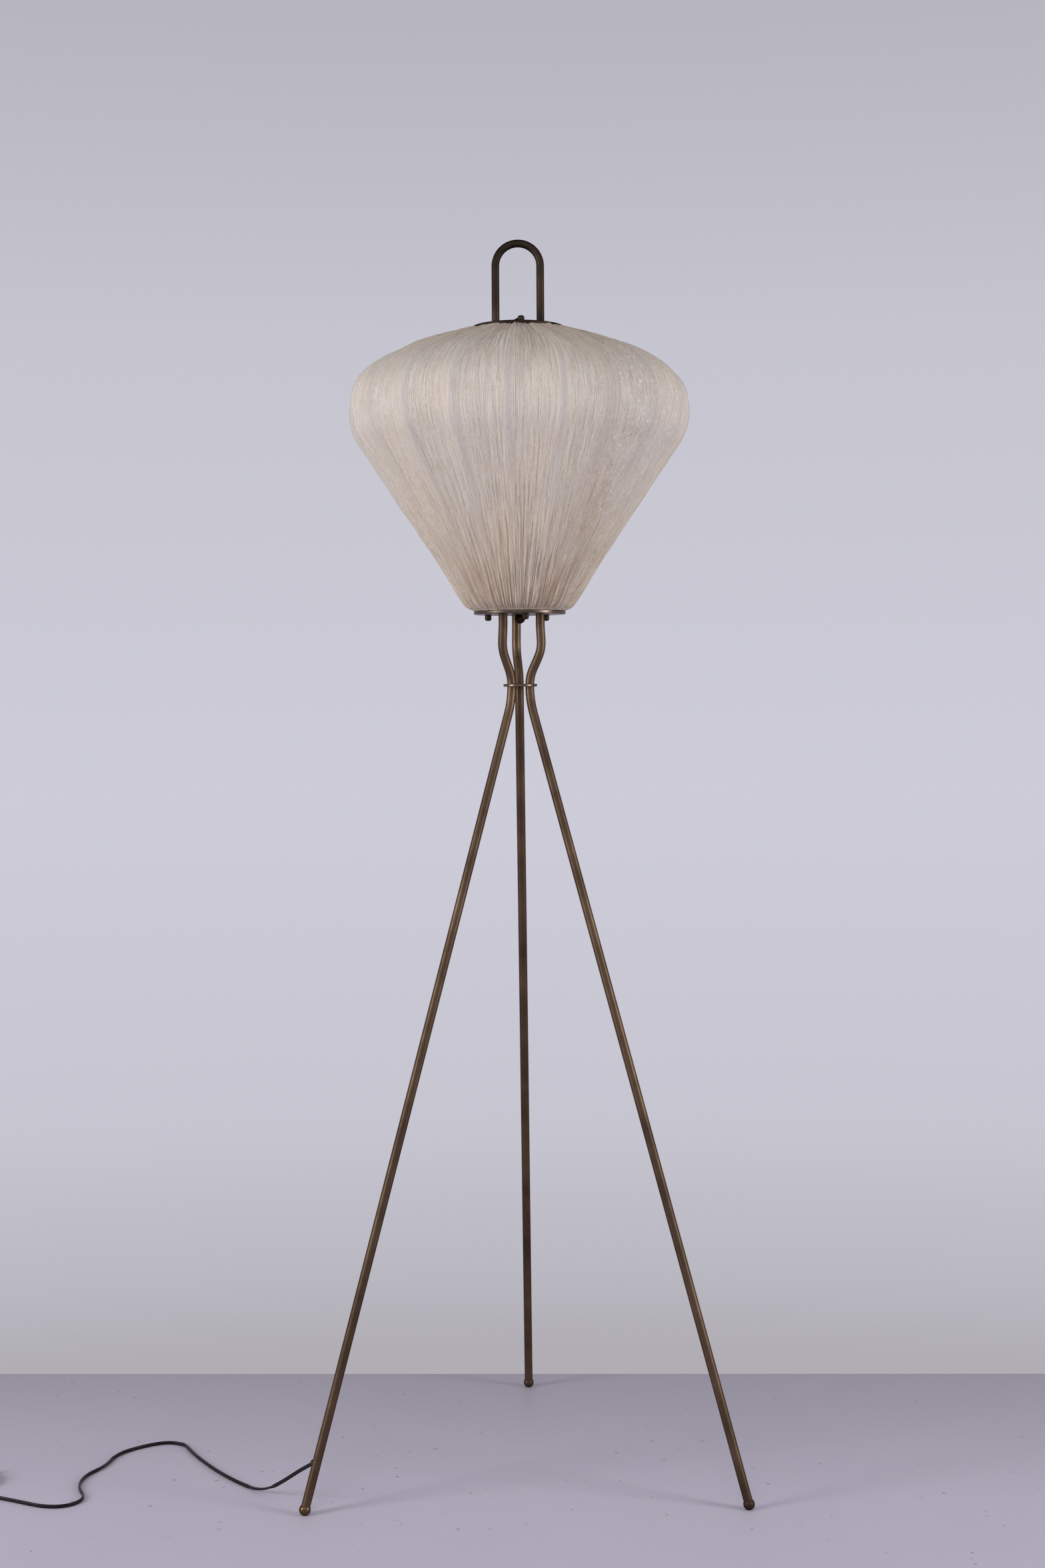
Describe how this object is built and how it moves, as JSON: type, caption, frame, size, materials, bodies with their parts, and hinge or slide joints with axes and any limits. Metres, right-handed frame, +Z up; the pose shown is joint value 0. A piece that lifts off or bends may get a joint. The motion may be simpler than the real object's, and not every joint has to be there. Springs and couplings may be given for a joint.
{
  "type": "tripod floor lamp",
  "caption": "Floor lamp on three splayed bronze tube legs with ball feet, a crinkled silk shade clamped between two plates, and a carry handle on top.",
  "frame": {"origin": "on the floor, on the lamp axis, in the middle of the circle through the three ball feet", "axes": "+Z up along the lamp axis; the front of the lamp faces -Y; +X to the right seen from the front; the lead leaves towards -X"},
  "size_m": [1.2083, 0.6071, 1.777],
  "materials": {
    "bronze": "antique bronze finish, satin, slightly brushed",
    "ball_brass": "aged brass, satin",
    "dark_bronze": "dark patinated bronze, satin",
    "zinc_steel": "zinc plated steel",
    "white_steel": "white enamelled steel wire strip",
    "crinkled_silk": "ivory crinkled silk, satin sheen, gathered",
    "white_plastic": "white moulded plastic",
    "contact_brass": "bright brass",
    "cap_metal": "bare aluminium",
    "bulb_glass": "clear glass",
    "filament": "yellow coated filament",
    "black_rubber": "black rubber",
    "black_cord": "black flexible sheath",
    "pin_metal": "nickel plated brass"
  },
  "bodies": {
    "lamp": {"cable_grommet": "black_rubber", "carry_handle": "bronze", "centre_rod": "zinc_steel", "cluster_hub": "white_plastic", "cord_coil": "black_cord", "cord_tail": "black_cord", "cord_tie": "black_rubber", "foot_ball_front_left": "ball_brass", "foot_ball_front_right": "ball_brass", "foot_ball_rear": "ball_brass", "frame_lower_ring": "zinc_steel", "frame_upper_ring": "zinc_steel", "handle_plugs": "zinc_steel", "handle_screws": "zinc_steel", "holder_contact_1": "contact_brass", "holder_contact_2": "contact_brass", "holder_contact_3": "contact_brass", "holder_nipple_1": "zinc_steel", "holder_nipple_2": "zinc_steel", "holder_nipple_3": "zinc_steel", "inner_lead": "black_cord", "lampholder_1": "white_plastic", "lampholder_2": "white_plastic", "lampholder_3": "white_plastic", "leg_front_left": "bronze", "leg_front_right": "bronze", "leg_inserts": "zinc_steel", "leg_nuts": "zinc_steel", "leg_rear": "bronze", "lower_cap_nuts": "dark_bronze", "lower_plate": "bronze", "plug_body": "black_rubber", "plug_pins": "pin_metal", "rod_nuts": "zinc_steel", "shade_fabric": "crinkled_silk", "shade_ribs": "white_steel", "supply_cord": "black_cord", "upper_cap_nuts": "dark_bronze", "upper_plate": "bronze", "waist_plate": "bronze"},
    "bulb_1": {"bulb_cap_1": "cap_metal", "bulb_filaments_1": "filament", "bulb_glass_1": "bulb_glass", "bulb_stem_1": "bulb_glass"},
    "bulb_2": {"bulb_cap_2": "cap_metal", "bulb_filaments_2": "filament", "bulb_glass_2": "bulb_glass", "bulb_stem_2": "bulb_glass"},
    "bulb_3": {"bulb_cap_3": "cap_metal", "bulb_filaments_3": "filament", "bulb_glass_3": "bulb_glass", "bulb_stem_3": "bulb_glass"},
    "upper_ball": {"upper_ball_nut": "dark_bronze"},
    "lower_ball": {"lower_ball_nut": "dark_bronze"}
  },
  "joints": [
    {"name": "bulb_1_unscrew", "type": "hinge", "parent": "lamp", "child": "bulb_1", "pos_m": [0, 0, 1.285], "axis": [0.6029, 0.3695, 0.7071], "continuous": true},
    {"name": "bulb_2_unscrew", "type": "hinge", "parent": "lamp", "child": "bulb_2", "pos_m": [0, 0, 1.285], "axis": [-0.6214, 0.3374, 0.7071], "continuous": true},
    {"name": "bulb_3_unscrew", "type": "hinge", "parent": "lamp", "child": "bulb_3", "pos_m": [0, 0, 1.285], "axis": [0.0185, -0.7069, 0.7071], "continuous": true},
    {"name": "upper_ball_unscrew", "type": "hinge", "parent": "lamp", "child": "upper_ball", "pos_m": [0, 0, 1.653], "axis": [0, 0, 1], "continuous": true},
    {"name": "lower_ball_unscrew", "type": "hinge", "parent": "lamp", "child": "lower_ball", "pos_m": [0, 0, 1.2435], "axis": [0, 0, -1], "continuous": true}
  ]
}
